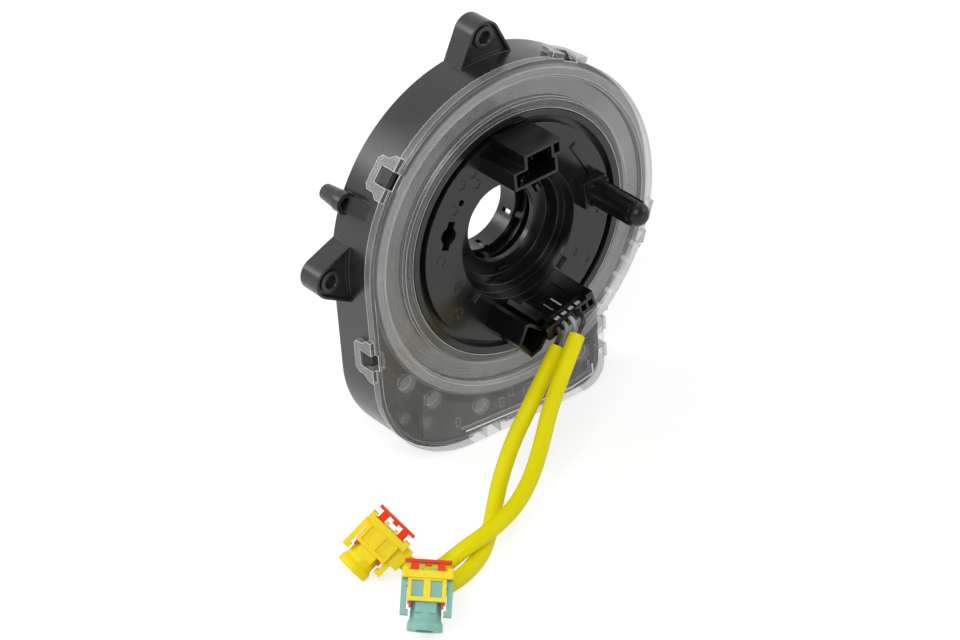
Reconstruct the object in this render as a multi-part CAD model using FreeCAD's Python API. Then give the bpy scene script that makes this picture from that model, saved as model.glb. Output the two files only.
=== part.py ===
import FreeCAD, Part
import math
import os

os.makedirs("parts", exist_ok=True)

V = FreeCAD.Vector

# Frame: X right and Z up seen from the front, Y back along the steering axis, which is x = z = 0.
# y = 0 is the back face of the housing. Depths are counted back from the front plane of the rotor plate.
BODY_DEPTH = 20.6
FLOOR_Z = -67.6
GAP = 0.3
FIT = 0.05
ROTOR_TURN = 3.5

# Outline of the stator
MAIN_R = 54.0
LOBE_X = -19.0
LOBE_Z = -33.4
LOBE_R = LOBE_Z - FLOOR_Z
CHORD_R = MAIN_R - 1.93
CHORD_ANGLE = -38.76
RIGHT_X = 32.8
CORNER_R = 8.5

# Housing and cover
HOUSING_WALL = 1.8
HOUSING_BACK = 2.0
WALL_FRONT = 4.5
CHAMBER_R = MAIN_R - GAP - HOUSING_WALL
PARTITION_R = MAIN_R - 3.4
PARTITION_WALL = 1.6
CHAMBER_FLOOR = BODY_DEPTH - HOUSING_BACK
COVER_SKIRT = 1.8
COVER_HOLE_R = MAIN_R - 14.4
COVER_CHAMFER = 0.8
LOBE_FACE = 1.0
LOBE_FACE_BACK = 2.6
TAB_WIDTH = 11.0
TAB_WALL = 1.5
TAB_END = 10.8
WINDOW_WIDTH = 5.4
WINDOW_END = 8.0
FOOT_CLIP_X = -12.0
FOOT_CLIP_HALF = TAB_WIDTH / 2 + 1.6
EAR_OUT = 6.0
EAR_ROOT = 1.7
EAR_R = MAIN_R + EAR_OUT
EAR_TIP_R = 5.4
EAR_BASE_R = MAIN_R - EAR_ROOT
EAR_HALF_BASE = 9.7
EAR_FRONT = 12.4
EAR_HOLE_R = 1.9
EAR_BOSS_R = 3.5
EAR_BOSS_LOW = 0.2
EAR_RIM = 0.8
EAR_RECESS = 1.3
EAR_ANGLES = (89.5, 178.4)
PEG_OUT = 2.4
PEG_R = MAIN_R + PEG_OUT
PEG_ANGLE = 155.2
PEG_FRONT = 14.6
PEG_END = 25.2

# Connector on the back, its contacts and their carrier
SHROUD_HALF = 15.0
SHROUD_LOW = -62.9
SHROUD_HIGH = -52.9
SHROUD_BACK = BODY_DEPTH + 9.0
SHROUD_WALL = 1.2
SHROUD_FLANGE = 0.8
SHROUD_KEY_HALF = 2.4
SHROUD_KEY = 1.0
PIN_PITCH = 3.0
PIN_XS = [PIN_PITCH * (i - 4) for i in range(9)]
PIN_ZS = (-60.0, -55.8)
PIN_SIDE = 0.64
CARRIER_FRONT = 4.9
CARRIER_BACK = 6.9
POSTS = ((-34.0, -50.5), (22.0, -60.0))
POST_R = 2.0

# Rotor
PLATE_R = COVER_HOLE_R - 4.6
GROOVE_R = COVER_HOLE_R - 2.4
RING_R = COVER_HOLE_R - 0.4
FLANGE_RIM_R = COVER_HOLE_R + 1.6
HUB_R = 23.3
HUB_WALL = 1.8
MOUTH_R = HUB_R - 2.0
SLEEVE_BORE_R = 12.6
SLEEVE_TUBE = 1.6
JOURNAL_R = SLEEVE_BORE_R + 3.8
RUNNING_FIT = 0.08
COLLAR_R = JOURNAL_R + RUNNING_FIT
FLANGE_R = JOURNAL_R + 2.6
RECESS_R = FLANGE_R + 0.8
COLLAR_OUTER_R = RECESS_R + 1.2
LEG_ANGLES = (-97.0, 23.0, 143.0)
LEG_WIDTH = 2.8
LEG_THICK = 1.2
DRIVE_PEG_X = PLATE_R - 7.7
DRIVE_PEG_Z = 3.7
DRIVE_PEG_R = 4.0
DRIVE_PEG_TOP = -26.0
SOCKET_FRONT = -16.0
SWITCH_PINS = [(-4.6 + 1.9 * i, z) for z in (29.2, 33.6) for i in range(4)]
HORN_WALL = 1.0
HORN_PINS = [(-10.2, -26.6), (-7.0, -26.6)]
LEAD_FRONT = -18.8
STRIP_BACK = -16.3
LEAD_ANGLE = 11.5
CELL_PITCH = 2.7
CELL_U = -7.9
CELL_N = 23.0
WIRE_R = 0.7
WIRE_START = -15.9
WIRE_SPREAD = 0.9
SLEEVE_R = 2.5
SLEEVE_WALL = 0.5
SLEEVE_MOUTH = 3.0

# Flat cable
CABLE_THICK = 0.4
CABLE_FRONT = 5.2
CABLE_BACK = 17.6
CABLE_INNER_R = HUB_R + 2.7
CABLE_OUTER_R = PARTITION_R - 2.6
CABLE_STEP = 0.5
CABLE_HALF_TURNS = 6
CABLE_ANGLE = -118.0

# Routes of the two sleeves, from the lead connector to the plugs
ROUTE_TEAL = [
    (-1.6, -39.0, -31.5), (-8.6, -41.5, -36.4), (-17.7, -44.8, -42.6), (-27.4, -48.2, -49.4),
    (-36.1, -53.0, -55.9), (-41.6, -57.2, -59.8), (-46.5, -61.5, -62.4), (-52.2, -66.1, -64.3),
    (-58.7, -70.4, -65.0), (-66.9, -73.8, -65.0), (-75.8, -75.7, -64.1), (-80.1, -77.4, -62.2),
    (-82.4, -79.2, -59.5),
]
ROUTE_YELLOW = [
    (3.0, -42.8, -27.2), (-4.8, -46.0, -34.0), (-13.8, -49.9, -42.0), (-21.5, -55.0, -48.8),
    (-30.3, -60.7, -54.0), (-39.2, -65.1, -56.8), (-47.2, -67.7, -58.0), (-55.6, -68.8, -59.1),
    (-62.6, -68.5, -60.6), (-70.2, -66.9, -64.8), (-74.2, -64.7, -64.7), (-77.0, -61.9, -63.2),
    (-78.7, -58.2, -60.0),
]

# Wires: cell, depth of the bend, sleeve, and place in the sleeve's mouth
WIRES = [
    ("brown", 0, -20.9, ROUTE_TEAL, 150), ("grey", 1, -20.9, ROUTE_TEAL, 330),
    ("white", 2, -20.4, ROUTE_YELLOW, 60), ("black", 3, -22.8, ROUTE_YELLOW, 240),
]

# Plugs: origin at the root of the nose, direction of the nose, direction of the width
TEAL_ORIGIN = (-88.28, -84.69, -58.28)
TEAL_NOSE = (-0.494, -0.473, -0.730)
TEAL_WIDTH = (0.760, -0.643, -0.098)
YELLOW_ORIGIN = (-84.17, -52.73, -58.66)
YELLOW_NOSE = (-0.801, 0.152, -0.580)
YELLOW_WIDTH = (0.316, -0.717, -0.624)
NOSE_ROOT_R = 4.3
NOSE_R = 4.5
NOSE_RING_R = 5.1
NOSE_CONE = 4.6
NOSE_LENGTH = 7.8
NOSE_BORE_R = 2.6
LOCK_TRAVEL = 1.4
LOCK_PLATE = 0.8
LOCK_OUT = -12.0
LOCK_STOP = LOCK_OUT + LOCK_PLATE + LOCK_TRAVEL + 0.2
LEG_C0 = -4.2
LEG_C1 = -1.8
LEG_INNER = 2.6
LEG_TIP_INNER = 4.3
LEG_OUTER = 4.9
LEG_STEP = -2.6
LEG_TIP = 1.6
HOOD_N = -4.45
HOOD_R = 3.4
HOOD_YAW = 12.0


def at(depth):
    return depth - BODY_DEPTH


def save(name, shape):
    if isinstance(shape, (list, tuple)):
        shape = Part.makeCompound(list(shape))
    shape.exportStep("parts/" + name + ".step")
    print(name, len(shape.Solids), round(shape.Volume, 1), shape.isValid())
    return shape


def joined(first, *others):
    return first.multiFuse(list(others)).removeSplitter()


def prism(points, front, back):
    """Solid on a closed outline of (x, z) points between two depths."""
    ring = [V(x, at(front), z) for x, z in points]
    face = Part.Face(Part.makePolygon(ring + ring[:1]))
    return face.extrude(V(0, back - front, 0))


def block(x0, x1, z0, z1, front, back):
    return Part.makeBox(x1 - x0, back - front, z1 - z0, V(x0, at(front), z0))


def rod(x, z, r, front, back):
    return Part.makeCylinder(r, back - front, V(x, at(front), z), V(0, 1, 0))


def taper(x, z, r_front, r_back, front, back):
    return Part.makeCone(r_front, r_back, back - front, V(x, at(front), z), V(0, 1, 0))


def turned(profile, x=0.0, z=0.0):
    """Solid of revolution of (radius, depth) points about an axis along Y."""
    ring = [V(r, at(depth), 0) for r, depth in profile]
    face = Part.Face(Part.makePolygon(ring + ring[:1]))
    solid = face.revolve(V(0, 0, 0), V(0, 1, 0), 360)
    solid.translate(V(x, 0, z))
    return solid


def spun(shape, angle):
    """Copy of the shape turned about the steering axis, counter-clockwise seen from the front."""
    copy = shape.copy()
    copy.rotate(V(0, 0, 0), V(0, 1, 0), -angle)
    return copy


def polar(r, angle):
    a = math.radians(angle)
    return (r * math.cos(a), r * math.sin(a))


def set_at(shape, x, z, angle):
    copy = spun(shape, angle)
    copy.translate(V(x, 0, z))
    return copy


def outline_face(inset, depth):
    """Face inside the stator's outline, moved in by inset."""
    big = MAIN_R - inset
    low = LOBE_R - inset
    chord = CHORD_R - inset
    right = RIGHT_X - inset
    foot = FLOOR_Z + inset
    y = at(depth)
    side = side_normal()
    top = CHORD_ANGLE + math.degrees(math.acos(chord / big))
    cx, cz = polar(1.0, CHORD_ANGLE)
    chord_low = (right, (chord - cx * right) / cz)

    def spot(r, angle, x=0.0, z=0.0):
        px, pz = polar(r, angle)
        return V(px + x, y, pz + z)

    start = spot(big, top)
    side_top = spot(big, side)
    side_low = spot(low, side, LOBE_X, LOBE_Z)
    foot_left = V(LOBE_X, y, foot)
    corner_r = CORNER_R - inset
    corner_x = RIGHT_X - CORNER_R
    corner_z = FLOOR_Z + CORNER_R
    foot_right = V(corner_x, y, foot)
    corner_end = V(right, y, corner_z)
    chord_end = V(chord_low[0], y, chord_low[1])
    edges = [
        Part.Arc(start, spot(big, 90), side_top).toShape(),
        Part.LineSegment(side_top, side_low).toShape(),
        Part.Arc(side_low, spot(low, (side + 270) / 2, LOBE_X, LOBE_Z), foot_left).toShape(),
        Part.LineSegment(foot_left, foot_right).toShape(),
        Part.Arc(foot_right, spot(corner_r, -45, corner_x, corner_z), corner_end).toShape(),
        Part.LineSegment(corner_end, chord_end).toShape(),
        Part.LineSegment(chord_end, start).toShape(),
    ]
    return Part.Face(Part.Wire(edges))


def outline_prism(inset, front, back):
    return outline_face(inset, front).extrude(V(0, back - front, 0))


def side_normal():
    """Outward angle of the straight side that touches the main and the lobe circle."""
    reach = math.hypot(LOBE_X, LOBE_Z)
    line = math.degrees(math.atan2(LOBE_Z, LOBE_X)) + 360
    return line - math.degrees(math.acos((MAIN_R - LOBE_R) / reach))


def clip_places():
    """Outward angle and foot point of each clip tab on the outline."""
    places = []
    for angle in (142.5, 64.0, -19.0):
        x, z = polar(MAIN_R, angle)
        places.append((x, z, angle))
    side = side_normal()
    nx, nz = polar(1.0, side)
    z = -24.2
    places.append(((MAIN_R - nz * z) / nx, z, side))
    places.append((RIGHT_X, -52.0, 0.0))
    return places


def clip_tab():
    """Tab, window and latch of a clip, with X outward and the outline at x = 0."""
    half = TAB_WIDTH / 2
    corner = 1.4
    flare = half + 1.6
    side = [(2.4, flare), (WALL_FRONT, flare), (WALL_FRONT + 2.2, half), (TAB_END - corner, half),
            (TAB_END, half - corner)]
    ring = [V(0, at(depth), z) for depth, z in side] + [V(0, at(depth), -z) for depth, z in side[::-1]]
    body = Part.makePolygon(ring + ring[:1])
    tab = Part.Face(body).extrude(V(TAB_WALL, 0, 0))
    root = block(-1.0, TAB_WALL, -flare, flare, 2.4, WALL_FRONT)
    return joined(tab, root)


def clip_window():
    return block(-2.6, TAB_WALL + 1, -WINDOW_WIDTH / 2, WINDOW_WIDTH / 2, 1.5, WINDOW_END)


def clip_latch():
    half = WINDOW_WIDTH / 2 - GAP
    side = [(-1.0, 4.9), (-GAP, 4.9), (TAB_WALL - 0.2, WINDOW_END - 0.9), (TAB_WALL - 0.2, WINDOW_END - GAP),
            (-1.0, WINDOW_END - GAP)]
    ring = [V(x, at(depth), -half) for x, depth in side]
    return Part.Face(Part.makePolygon(ring + ring[:1])).extrude(V(0, 0, 2 * half))


def ear_prism(cut, front, back):
    """Triangle of an ear with a round tip, moved in by cut, pointing along X."""
    run = math.hypot(EAR_R - EAR_BASE_R, EAR_HALF_BASE)
    lean = math.atan2(-EAR_HALF_BASE, EAR_R - EAR_BASE_R) + math.asin(EAR_TIP_R / run)
    ux, uz = math.cos(lean), math.sin(lean)
    tip_r = EAR_TIP_R - cut
    touch_x = EAR_R - uz * tip_r
    touch_z = ux * tip_r
    foot_z = touch_z + (EAR_BASE_R - touch_x) / ux * uz
    y = at(front)
    foot_up = V(EAR_BASE_R, y, foot_z)
    foot_down = V(EAR_BASE_R, y, -foot_z)
    up = V(touch_x, y, touch_z)
    down = V(touch_x, y, -touch_z)
    edges = [
        Part.LineSegment(foot_up, up).toShape(),
        Part.Arc(up, V(EAR_R + tip_r, y, 0), down).toShape(),
        Part.LineSegment(down, foot_down).toShape(),
        Part.LineSegment(foot_down, foot_up).toShape(),
    ]
    return Part.Face(Part.Wire(edges)).extrude(V(0, back - front, 0))


def ear():
    """Screw ear, the recess in its front and its hole, pointing along X."""
    body = ear_prism(0.0, EAR_FRONT, BODY_DEPTH)
    recess = ear_prism(EAR_RIM, EAR_FRONT - 1, EAR_FRONT + EAR_RECESS)
    recess = recess.cut(rod(0, 0, MAIN_R - GAP + 0.2, 0, BODY_DEPTH))
    boss_front = EAR_FRONT + EAR_BOSS_LOW
    recess = recess.cut(rod(EAR_R, 0, EAR_BOSS_R, boss_front, BODY_DEPTH))
    hole = rod(EAR_R, 0, EAR_HOLE_R, 0, BODY_DEPTH + 1)
    lead_in = taper(EAR_R, 0, EAR_HOLE_R + 0.3, EAR_HOLE_R, boss_front, boss_front + 0.3)
    return body, recess, joined(hole, lead_in)


def locating_peg():
    """Rearward peg with a blind hole in its front end and a gusset to the wall, pointing along X."""
    x = PEG_R
    boss = rod(x, 0, 3.4, PEG_FRONT, PEG_FRONT + 3.0)
    pin = taper(x, 0, 3.2, 2.5, PEG_FRONT + 3.0, PEG_END - 0.6)
    tip = taper(x, 0, 2.5, 1.9, PEG_END - 0.6, PEG_END)
    root = MAIN_R - 1.4
    side = [(root, PEG_FRONT - 7.0), (root + 1.0, PEG_FRONT - 7.0), (x, PEG_FRONT + 0.4),
            (x, PEG_FRONT + 4.5), (root, PEG_FRONT + 4.5)]
    ring = [V(r, at(depth), -2.6) for r, depth in side]
    gusset = Part.Face(Part.makePolygon(ring + ring[:1])).extrude(V(0, 0, 5.2))
    hole = taper(x, 0, 2.0, 1.0, PEG_FRONT - 0.1, PEG_FRONT + 3.4)
    return joined(boss, pin, tip, gusset), hole


def stator_pin(x, z):
    half = PIN_SIDE / 2
    return block(x - half, x + half, z - half, z + half, CARRIER_BACK, BODY_DEPTH + 3.2)


def shroud_block(inset, front, back):
    half = SHROUD_HALF - inset
    return block(-half, half, SHROUD_LOW + inset, SHROUD_HIGH - inset, front, back)


def stator_connector():
    """Connector shroud that stands in the housing's floor, on a flange inside it."""
    flange = shroud_block(-SHROUD_FLANGE, CHAMBER_FLOOR - 1.5, CHAMBER_FLOOR)
    flange = flange.fuse(shroud_key(SHROUD_FLANGE, CHAMBER_FLOOR - 1.5, CHAMBER_FLOOR))
    flange = flange.cut(rod(0, 0, PARTITION_R + PARTITION_WALL + FIT, 0, BODY_DEPTH))
    body = shroud_block(0.0, CHAMBER_FLOOR - 1.5, SHROUD_BACK)
    body = joined(body, flange)
    body = body.cut(shroud_block(SHROUD_WALL, BODY_DEPTH - 0.5, SHROUD_BACK + 1))
    key = shroud_key(0.0, CHAMBER_FLOOR, SHROUD_BACK - 1.5)
    return joined(body, key).cut(Part.makeCompound(stator_pins()))


def shroud_key(room, front, back):
    """Coding rib along the top of the shroud, grown by room."""
    half = SHROUD_KEY_HALF + room
    return block(-half, half, SHROUD_HIGH - 0.2, SHROUD_HIGH + SHROUD_KEY + room, front, back)


def stator_pins():
    return [stator_pin(x, z) for x in PIN_XS for z in PIN_ZS]


def rear_housing():
    shell = outline_prism(GAP, WALL_FRONT, BODY_DEPTH)
    floor = CHAMBER_FLOOR
    foot_z = FLOOR_Z + TAB_WALL
    shell = shell.fuse(block(LOBE_X + 1, RIGHT_X - CORNER_R - 1, FLOOR_Z, foot_z, WALL_FRONT, BODY_DEPTH))
    hollow = outline_prism(GAP + HOUSING_WALL, WALL_FRONT - 1, floor)
    chamber = hollow.common(rod(0, 0, PARTITION_R, WALL_FRONT - 1, floor))
    outer_chamber = hollow.common(rod(0, 0, CHAMBER_R + 0.01, WALL_FRONT - 1, floor))
    sector = prism([(0, 0), (-90, -12), (-90, -120), (90, -120), (31.0, -44.0)], WALL_FRONT - 1, floor)
    pocket = hollow.cut(rod(0, 0, PARTITION_R + PARTITION_WALL, WALL_FRONT - 1, floor)).common(sector)
    shell = shell.cut(chamber).cut(outer_chamber.cut(sector)).cut(pocket)
    extras = []
    cuts = []
    for x, z, angle in clip_places():
        extras.append(set_at(clip_latch(), x, z, angle))
    for angle in EAR_ANGLES:
        body, recess, hole = ear()
        extras.append(spun(body, angle))
        cuts.append(spun(recess, angle))
        cuts.append(spun(hole, angle))
    peg, hole = locating_peg()
    extras.append(spun(peg, PEG_ANGLE))
    cuts.append(spun(hole, PEG_ANGLE))
    pad = FOOT_CLIP_HALF + 1.6
    x = FOOT_CLIP_X
    extras.append(block(x - pad, x + pad, FLOOR_Z + 0.4, FLOOR_Z + 3.8, WALL_FRONT, floor + 0.5))
    room = FOOT_CLIP_HALF + GAP
    cuts.append(block(x - room, x + room, FLOOR_Z - 1, foot_z + GAP, WALL_FRONT - 1, TAB_END + GAP))
    extras.append(rod(0, 0, COLLAR_OUTER_R, BODY_DEPTH - 5.0, BODY_DEPTH))
    cuts.append(rod(0, 0, COLLAR_R, 0, BODY_DEPTH + 1))
    cuts.append(rod(0, 0, RECESS_R, BODY_DEPTH - 1.8, BODY_DEPTH + 1))
    cuts.append(shroud_block(-FIT, floor - 1, BODY_DEPTH + 1))
    cuts.append(shroud_key(FIT, floor - 0.1, BODY_DEPTH + 1))
    cuts.append(cable_slot())
    for x, z in POSTS:
        extras.append(rod(x, z, POST_R, CARRIER_BACK, floor + 0.5))
    shell = shell.multiFuse(extras)
    latch = set_at(clip_latch(), FOOT_CLIP_X, FLOOR_Z + TAB_WALL, -90)
    tool = cuts[0].multiFuse(cuts[1:])
    return shell.cut(tool).fuse(latch).removeSplitter()


def cable_slot():
    """Way through the partition for the outer end of the flat cable."""
    cut = block(PARTITION_R - 3.6, PARTITION_R + 5.9, -1.1, 1.1, 4.0, 18.0)
    return spun(cut, CABLE_ANGLE)


def front_cover():
    cap = outline_prism(0.0, LOBE_FACE, WALL_FRONT)
    front_edges = []
    for edge in cap.Edges:
        box = edge.BoundBox
        if abs(box.YMin - at(LOBE_FACE)) < 1e-6 and abs(box.YMax - at(LOBE_FACE)) < 1e-6:
            front_edges.append(edge)
    cap = cap.makeChamfer(COVER_CHAMFER, front_edges)
    hole = COVER_HOLE_R
    rings = turned([
        (hole, 0.0), (hole + 2.7, 0.0), (hole + 3.3, 0.9), (MAIN_R - 5.0, 0.9), (MAIN_R - 4.2, 0.0),
        (MAIN_R - 2.0, 0.2), (MAIN_R - 0.8, 1.0), (MAIN_R, 1.8), (MAIN_R, WALL_FRONT), (hole, WALL_FRONT),
    ])
    rings = rings.common(outline_prism(0.0, -1.0, WALL_FRONT + 1))
    solid = cap.fuse(rings)
    under = turned([
        (0, 1.6), (hole + 2.2, 1.6), (hole + 2.8, 2.5), (MAIN_R - 4.8, 2.5), (MAIN_R - 4.1, 1.8),
        (MAIN_R - 2.8, 1.8), (MAIN_R - 2.0, 2.6), (MAIN_R - 2.0, WALL_FRONT + 1), (0, WALL_FRONT + 1),
    ])
    under = under.common(outline_prism(COVER_SKIRT, 0.0, WALL_FRONT + 1))
    lobe_under = outline_prism(COVER_SKIRT, LOBE_FACE_BACK, WALL_FRONT + 1)
    solid = solid.cut(under.fuse(lobe_under)).cut(rod(0, 0, hole, -1, WALL_FRONT + 1))
    extras = []
    cuts = []
    for x, z, angle in clip_places():
        extras.append(set_at(clip_tab(), x, z, angle))
        cuts.append(set_at(clip_window(), x, z, angle))
    foot = clip_tab().common(block(-2, TAB_WALL, -9, 9, 2.4, TAB_END))
    extras.append(set_at(foot, FOOT_CLIP_X, FLOOR_Z + TAB_WALL, -90))
    cuts.append(set_at(clip_window(), FOOT_CLIP_X, FLOOR_Z + TAB_WALL, -90))
    for offset in (-11.0, -5.5, 0.0, 5.5, 11.0):
        rib = block(MAIN_R - 4.6, CHORD_R - 0.4, offset - 0.6, offset + 0.6, 0.25, 1.4)
        extras.append(spun(rib, CHORD_ANGLE))
    for x, z in ((-43.5, -35.4), (-34.2, -45.1), (-16.3, -55.2), (3.3, -58.3), (23.4, -53.3)):
        extras.append(rod(x, z, 2.4, LOBE_FACE_BACK - 0.2, LOBE_FACE_BACK + 0.25))
    for x, z in ((-3.8, -56.2), (-7.4, -58.5), (-24.4, -58.3)):
        extras.append(block(x - 0.7, x + 0.7, z - 1.5, z + 1.5, LOBE_FACE_BACK - 0.2, LOBE_FACE_BACK + 0.5))
    for (x0, z0), (x1, z1) in (((-23.0, -61.4), (18.7, -63.6)), ((18.7, -63.6), (27.3, -62.0)),
                               ((27.3, -62.0), (27.1, -58.4))):
        run = math.hypot(x1 - x0, z1 - z0)
        rib = block(0, run, -0.25, 0.25, LOBE_FACE_BACK - 0.2, LOBE_FACE_BACK + 0.6)
        extras.append(set_at(rib, x0, z0, math.degrees(math.atan2(z1 - z0, x1 - x0))))
    solid = solid.multiFuse(extras)
    return solid.cut(cuts[0].multiFuse(cuts[1:])).removeSplitter()


def half_ring(r, cx, upper):
    """Right end, middle and left end of a half circle about (cx, 0)."""
    mid = V(cx, 0, r if upper else -r)
    return V(cx + r, 0, 0), mid, V(cx - r, 0, 0)


def cable_radii():
    """Radii of the half turns: a pack on the hub, a wide loop across, and a pack at the wall."""
    inner = [CABLE_INNER_R + CABLE_STEP * k for k in range(CABLE_HALF_TURNS)]
    outer = [CABLE_OUTER_R - CABLE_STEP * k for k in range(CABLE_HALF_TURNS)][::-1]
    step = (outer[0] - inner[-1]) / 4
    return inner + [inner[-1] + step, inner[-1] + 3 * step] + outer


def flat_cable():
    inner = []
    outer = []
    cx = -CABLE_STEP / 2
    before = None
    for k, r in enumerate(cable_radii()):
        upper = k % 2 == 0
        if before is not None:
            cx += (before - r) if upper else (r - before)
        before = r
        right, mid, left = half_ring(r, cx, upper)
        far_right, far_mid, far_left = half_ring(r + CABLE_THICK, cx, upper)
        if upper:
            inner.append(Part.Arc(right, mid, left).toShape())
            outer.append(Part.Arc(far_right, far_mid, far_left).toShape())
        else:
            inner.append(Part.Arc(left, mid, right).toShape())
            outer.append(Part.Arc(far_left, far_mid, far_right).toShape())
        if k == 0:
            start = Part.LineSegment(far_right, right).toShape()
        last = (right, far_right)
    end = Part.LineSegment(last[0], last[1]).toShape()
    wire = Part.Wire(inner + [end] + outer[::-1] + [start])
    solid = Part.Face(wire).extrude(V(0, CABLE_BACK - CABLE_FRONT, 0))
    solid.translate(V(0, at(CABLE_FRONT), 0))
    return spun(solid, CABLE_ANGLE), last[0].x


def cable_end_outer(start_x):
    """Moulded end that leads the flat cable through the partition to the terminal carrier."""
    arm = block(start_x - 0.4, PARTITION_R + 4.0, -0.8, 0.8, 5.4, 17.4)
    arm = arm.cut(block(start_x - 1, start_x + CABLE_THICK, -1, 0.0, 0, BODY_DEPTH))
    head = block(PARTITION_R + 2.6, PARTITION_R + 5.6, -2.6, 2.6, CARRIER_BACK, 15.0)
    return joined(spun(arm, CABLE_ANGLE), spun(head, CABLE_ANGLE))


def cable_end_inner():
    body = block(HUB_R - 1.3, HUB_R + 1.5, -3.2, 3.2, 5.4, 17.2)
    return body.cut(rod(0, 0, HUB_R, 0, BODY_DEPTH))


def terminal_carrier():
    plate = outline_prism(GAP + HOUSING_WALL + GAP, CARRIER_FRONT, CARRIER_BACK)
    plate = plate.cut(rod(0, 0, PARTITION_R + PARTITION_WALL + GAP, 0, BODY_DEPTH))
    plate = plate.common(prism([(-36, -90), (-36, -44), (26.4, -44), (26.4, -90)], 0, BODY_DEPTH))
    pad = FOOT_CLIP_HALF + 1.6 + GAP
    plate = plate.cut(block(FOOT_CLIP_X - pad, FOOT_CLIP_X + pad, FLOOR_Z, FLOOR_Z + 4.1, 0, BODY_DEPTH))
    return plate.cut(cable_slot())


def slip_sheet():
    return rod(0, 0, MAIN_R - 5.5, 2.5, 2.8).cut(rod(0, 0, COVER_HOLE_R + 3.4, 0, 5))


def rotor_plate():
    hub_back = CHAMBER_FLOOR - GAP
    hub_in = HUB_R - HUB_WALL
    body = turned([
        (MOUTH_R, 0.0), (PLATE_R, 0.0), (PLATE_R, 3.0), (GROOVE_R, 3.0), (GROOVE_R, 0.0), (RING_R, 0.0),
        (RING_R, 1.9), (FLANGE_RIM_R, 1.9), (FLANGE_RIM_R, 3.1), (RING_R, 3.1), (RING_R, 4.8),
        (PLATE_R - 1.8, 4.8), (PLATE_R - 1.8, 2.0), (HUB_R, 2.0), (HUB_R, hub_back), (hub_in, hub_back),
        (hub_in, 6.4), (MOUTH_R - 1.1, 6.4), (MOUTH_R - 2.2, 10.5), (SLEEVE_BORE_R, 10.5),
        (SLEEVE_BORE_R, 8.5), (MOUTH_R - 3.9, 8.5), (MOUTH_R - 2.6, 4.4), (MOUTH_R, 4.4),
    ])
    extras = []
    cuts = []
    for angle in range(0, 360, 45):
        extras.append(spun(block(HUB_R - 0.3, PLATE_R - 1.5, -0.6, 0.6, 1.8, 4.4), angle + 10))
    bar = set_at(block(-7.2, 7.2, -1.15, 1.15, -0.5, 0.3), 26.2, 13.8, -63.0)
    extras.append(bar.cut(peg_foot(-1.0, 0.0)))
    cuts.append(rod(-25.4, 10.5, 2.75, -1, 2.5))
    cuts.append(set_at(block(-4.6, 4.6, -1.3, 1.3, -1, 2.5), -25.4, 10.5, 67.5))
    cuts.append(rod(-19.5, 19.3, 1.0, -1, 2.5))
    for x, z in ((-18.7, 25.1), (-13.5, 23.1), (-14.3, 27.2), (-22.5, 18.0), (-28.9, 3.6), (-23.7, -8.0),
                 (-24.9, -16.9), (19.5, -16.0), (29.2, -5.3), (24.0, -20.5)):
        cuts.append(rod(x, z, 1.5, -1, 0.2))
    for x, z, angle in ((-18.6, -13.4, -144.0), (14.2, -17.2, -50.0)):
        cuts.append(set_at(block(-2.0, 2.0, -2.0, 2.0, -1, 1.2), x, z, angle))
    for angle in LEG_ANGLES:
        half = LEG_WIDTH / 2 + GAP
        cuts.append(spun(block(JOURNAL_R - 1.9, JOURNAL_R, -half, half, 8, 11), angle))
    return body.multiFuse(extras).cut(cuts[0].multiFuse(cuts[1:])).removeSplitter()


def rear_sleeve():
    rear = BODY_DEPTH
    tube_r = SLEEVE_BORE_R + SLEEVE_TUBE
    inner = JOURNAL_R - 1.5
    tube = turned([
        (SLEEVE_BORE_R, rear - 3.3), (tube_r, rear - 3.3), (tube_r, rear - 1.5), (inner, rear - 1.5),
        (inner, rear - 5.6), (JOURNAL_R, rear - 5.6), (JOURNAL_R, rear - 1.5), (FLANGE_R, rear - 1.5),
        (FLANGE_R, rear - 0.3), (tube_r, rear - 0.3), (tube_r, rear + 3.9), (SLEEVE_BORE_R, rear + 3.9),
    ])
    legs = []
    for angle in LEG_ANGLES:
        leg = block(inner, inner + LEG_THICK, -LEG_WIDTH / 2, LEG_WIDTH / 2, 7.6, rear - 5.0)
        side = ((inner + 0.5, 7.6), (inner + 1.2, 7.6), (inner + 2.0, 8.2), (inner + 2.0, 8.5),
                (inner + 0.5, 8.5))
        ring = [V(x, at(depth), -LEG_WIDTH / 2) for x, depth in side]
        hook = Part.Face(Part.makePolygon(ring + ring[:1])).extrude(V(0, 0, LEG_WIDTH))
        legs.append(spun(joined(leg, hook), angle))
    slits = []
    for k in range(6):
        slit = block(SLEEVE_BORE_R - 1, tube_r + 0.1, -0.75, 0.75, rear - 4, rear + 1.7)
        slits.append(spun(slit, 30 + 60 * k))
    return tube.multiFuse(legs).cut(slits[0].multiFuse(slits[1:])).removeSplitter()


def peg_foot(front, back):
    x, z = DRIVE_PEG_X, DRIVE_PEG_Z
    return block(x - 4.7, x + 3.7, z - 4.5, z + 4.5, front, back)


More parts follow.
